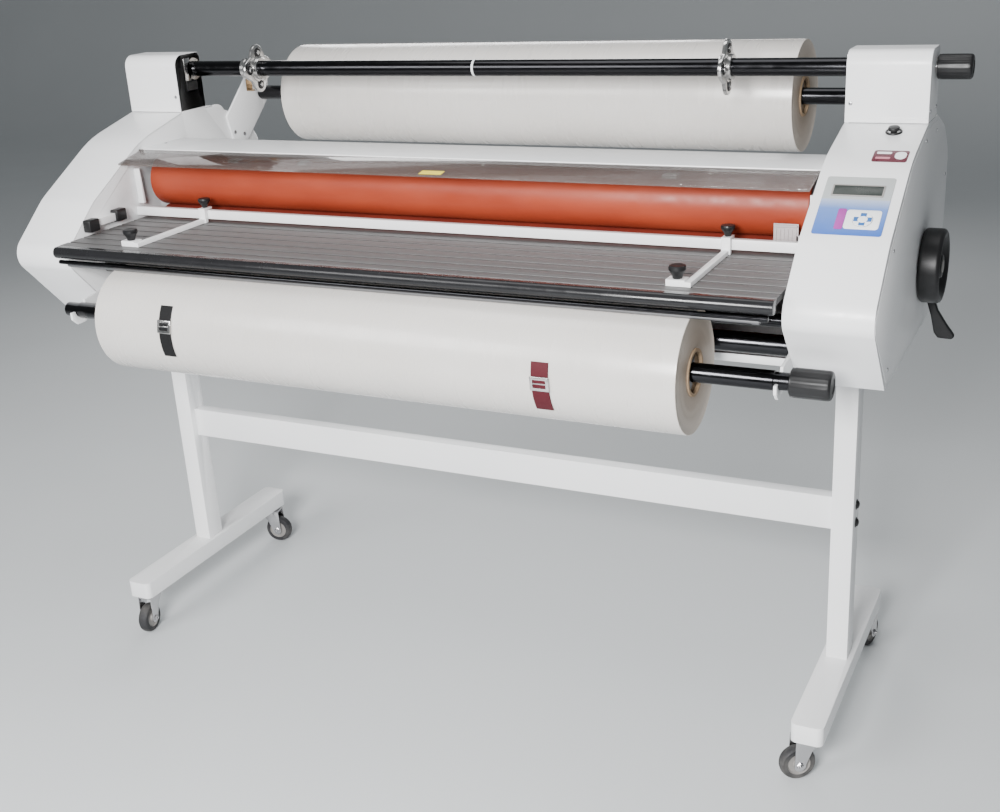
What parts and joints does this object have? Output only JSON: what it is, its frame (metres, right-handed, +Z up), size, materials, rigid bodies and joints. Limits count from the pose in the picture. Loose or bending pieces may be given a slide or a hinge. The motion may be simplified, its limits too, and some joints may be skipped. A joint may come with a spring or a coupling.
{
  "type": "roll laminator",
  "caption": "Wide roll laminator on a castered stand: heated silicone nip rollers, feed table, upper and lower film rolls, take-up bar, curved side housings.",
  "frame": {"origin": "on the floor, under the middle of the overall outline", "axes": "+X along the rollers towards the control panel side, +Y from the feed table to the outfeed side, +Z up"},
  "size_m": [1.988, 1.0049, 1.418],
  "materials": {
    "white_paint": "satin",
    "aluminium": "brushed",
    "black_plastic": "satin",
    "black_steel": "gloss",
    "steel": "ground",
    "chrome": "polished",
    "chuck_metal": "polished",
    "motor_grey": "satin",
    "silicone_red": "semi gloss",
    "wheel_rubber": "matte",
    "film_roll": "gloss",
    "core_card": "matte",
    "clear_shield": "tinted clear",
    "panel_print": "matte",
    "key_plastic": "matte"
  },
  "bodies": {
    "machine": {"leg_left": "white_paint", "leg_right": "white_paint", "stretcher": "white_paint", "stretcher_bolts": "black_steel", "side_frame_left": "white_paint", "side_frame_right": "white_paint", "housing_left": "white_paint", "housing_right": "white_paint", "base_pan": "white_paint", "exit_table": "aluminium", "top_cover": "white_paint", "rear_hood": "white_paint", "guide_rail": "white_paint", "feed_table": "aluminium", "table_lip": "black_plastic", "roller_guards": "white_paint", "drive_motor": "motor_grey", "shaft_box_left": "white_paint", "shaft_box_right": "white_paint", "supply_arm_left": "white_paint", "supply_arm_right": "white_paint", "shaft_cradles": "white_paint", "control_panel": "panel_print", "power_inlet": "black_plastic"},
    "caster_front_left": {"caster_fork_front_left": "chrome"},
    "wheel_front_left": {"caster_wheel_front_left": "wheel_rubber"},
    "caster_front_right": {"caster_fork_front_right": "chrome"},
    "wheel_front_right": {"caster_wheel_front_right": "wheel_rubber"},
    "caster_rear_left": {"caster_fork_rear_left": "chrome"},
    "wheel_rear_left": {"caster_wheel_rear_left": "wheel_rubber"},
    "caster_rear_right": {"caster_fork_rear_right": "chrome"},
    "wheel_rear_right": {"caster_wheel_rear_right": "wheel_rubber"},
    "bottom_roller": {"bottom_roller_sleeve": "silicone_red", "bottom_roller_core": "steel"},
    "lift_carriages": {"lift_carriages": "steel"},
    "top_roller": {"top_roller_sleeve": "silicone_red", "top_roller_core": "steel"},
    "cam_shaft": {"lift_cam_shaft": "steel", "handwheel": "black_plastic"},
    "lock_lever": {"lock_lever": "black_plastic"},
    "takeup": {"takeup_bar": "black_steel", "takeup_knob": "black_plastic"},
    "core_chuck_left": {"core_chuck_left": "chuck_metal"},
    "core_chuck_right": {"core_chuck_right": "chuck_metal"},
    "supply_roll": {"supply_shaft": "black_steel", "supply_core": "core_card", "supply_film": "film_roll"},
    "lower_roll": {"lower_shaft": "black_steel", "lower_shaft_knob": "black_plastic", "lower_core": "core_card", "lower_film": "film_roll"},
    "web_idler_front": {"web_idler_front": "black_steel"},
    "web_idler_rear": {"web_idler_rear": "black_steel"},
    "nip_shield": {"nip_shield": "clear_shield"},
    "side_guide_left": {"side_guide_left": "white_paint", "guide_knobs_left": "black_plastic"},
    "side_guide_right": {"side_guide_right": "white_paint", "guide_knobs_right": "black_plastic"},
    "nav_key": {"nav_key": "key_plastic"},
    "stop_button": {"stop_button": "black_plastic"}
  },
  "joints": [
    {"name": "front_left_swivel", "type": "hinge", "parent": "machine", "child": "caster_front_left", "pos_m": [-0.88, -0.2685, 0.1], "axis": [0, 0, 1], "continuous": true},
    {"name": "front_left_roll", "type": "hinge", "parent": "caster_front_left", "child": "wheel_front_left", "pos_m": [-0.87514, -0.29607, 0.0375], "axis": [0.9848, 0.1736, 0], "continuous": true},
    {"name": "front_right_swivel", "type": "hinge", "parent": "machine", "child": "caster_front_right", "pos_m": [0.82, -0.2685, 0.1], "axis": [0, 0, 1], "continuous": true},
    {"name": "front_right_roll", "type": "hinge", "parent": "caster_front_right", "child": "wheel_front_right", "pos_m": [0.79706, -0.28456, 0.0375], "axis": [0.5736, -0.8192, 0], "continuous": true},
    {"name": "rear_left_swivel", "type": "hinge", "parent": "machine", "child": "caster_rear_left", "pos_m": [-0.88, 0.2455, 0.1], "axis": [0, 0, 1], "continuous": true},
    {"name": "rear_left_roll", "type": "hinge", "parent": "caster_rear_left", "child": "wheel_rear_left", "pos_m": [-0.85261, 0.25132, 0.0375], "axis": [-0.2079, 0.9781, 0], "continuous": true},
    {"name": "rear_right_swivel", "type": "hinge", "parent": "machine", "child": "caster_rear_right", "pos_m": [0.82, 0.2455, 0.1], "axis": [0, 0, 1], "continuous": true},
    {"name": "rear_right_roll", "type": "hinge", "parent": "caster_rear_right", "child": "wheel_rear_right", "pos_m": [0.82725, 0.27255, 0.0375], "axis": [-0.9659, 0.2588, 0], "continuous": true},
    {"name": "bottom_roller_spin", "type": "hinge", "parent": "machine", "child": "bottom_roller", "pos_m": [-0.03, -0.0555, 1.008], "axis": [1, 0, 0], "continuous": true},
    {"name": "roller_lift", "type": "slide", "parent": "machine", "child": "lift_carriages", "axis": [0, 0, 1], "range_m": [0, 0.012]},
    {"name": "top_roller_spin", "type": "hinge", "parent": "lift_carriages", "child": "top_roller", "pos_m": [-0.03, -0.0555, 1.1283], "axis": [1, 0, 0], "continuous": true},
    {"name": "cam_turn", "type": "hinge", "parent": "machine", "child": "cam_shaft", "pos_m": [-0.03, 0.0825, 0.988], "axis": [1, 0, 0], "range_deg": [-1, 181]},
    {"name": "lever_turn", "type": "hinge", "parent": "machine", "child": "lock_lever", "pos_m": [0.93, 0.1375, 0.915], "axis": [1, 0, 0], "range_deg": [0, 60]},
    {"name": "takeup_spin", "type": "hinge", "parent": "machine", "child": "takeup", "pos_m": [-0.03, 0.1225, 1.362], "axis": [1, 0, 0], "continuous": true},
    {"name": "chuck_left_slide", "type": "slide", "parent": "takeup", "child": "core_chuck_left", "axis": [1, 0, 0], "range_m": [-0.15, 0.5]},
    {"name": "chuck_right_slide", "type": "slide", "parent": "takeup", "child": "core_chuck_right", "axis": [1, 0, 0], "range_m": [-0.5, 0.2]},
    {"name": "supply_spin", "type": "hinge", "parent": "machine", "child": "supply_roll", "pos_m": [-0.03, 0.3825, 1.268], "axis": [1, 0, 0], "continuous": true},
    {"name": "lower_spin", "type": "hinge", "parent": "machine", "child": "lower_roll", "pos_m": [-0.03, -0.3885, 0.894], "axis": [1, 0, 0], "continuous": true},
    {"name": "idler_front_spin", "type": "hinge", "parent": "machine", "child": "web_idler_front", "pos_m": [-0.03, -0.2795, 0.968], "axis": [1, 0, 0], "continuous": true},
    {"name": "idler_rear_spin", "type": "hinge", "parent": "machine", "child": "web_idler_rear", "pos_m": [-0.03, -0.2175, 0.9], "axis": [1, 0, 0], "continuous": true},
    {"name": "shield_hinge", "type": "hinge", "parent": "machine", "child": "nip_shield", "pos_m": [-0.03, -0.1095, 1.203], "axis": [-1, 0, 0], "range_deg": [0, 95]},
    {"name": "guide_left_slide", "type": "slide", "parent": "machine", "child": "side_guide_left", "axis": [1, 0, 0], "range_m": [-0.13, 0.45]},
    {"name": "guide_right_slide", "type": "slide", "parent": "machine", "child": "side_guide_right", "axis": [1, 0, 0], "range_m": [-0.45, 0.12]},
    {"name": "nav_key_press", "type": "slide", "parent": "machine", "child": "nav_key", "axis": [0, 0.5007, -0.8656], "range_m": [0, 0.0012], "stiffness_N_per_m": 500, "springref_m": -0.001},
    {"name": "stop_press", "type": "slide", "parent": "machine", "child": "stop_button", "axis": [0, 0.2368, -0.9716], "range_m": [0, 0.004], "stiffness_N_per_m": 400, "springref_m": -0.002}
  ],
  "couplings": [
    {"joint": "top_roller_spin", "follows": "bottom_roller_spin", "ratio": -1},
    {"joint": "cam_turn", "follows": "roller_lift", "rad_per_m": 261.8}
  ]
}
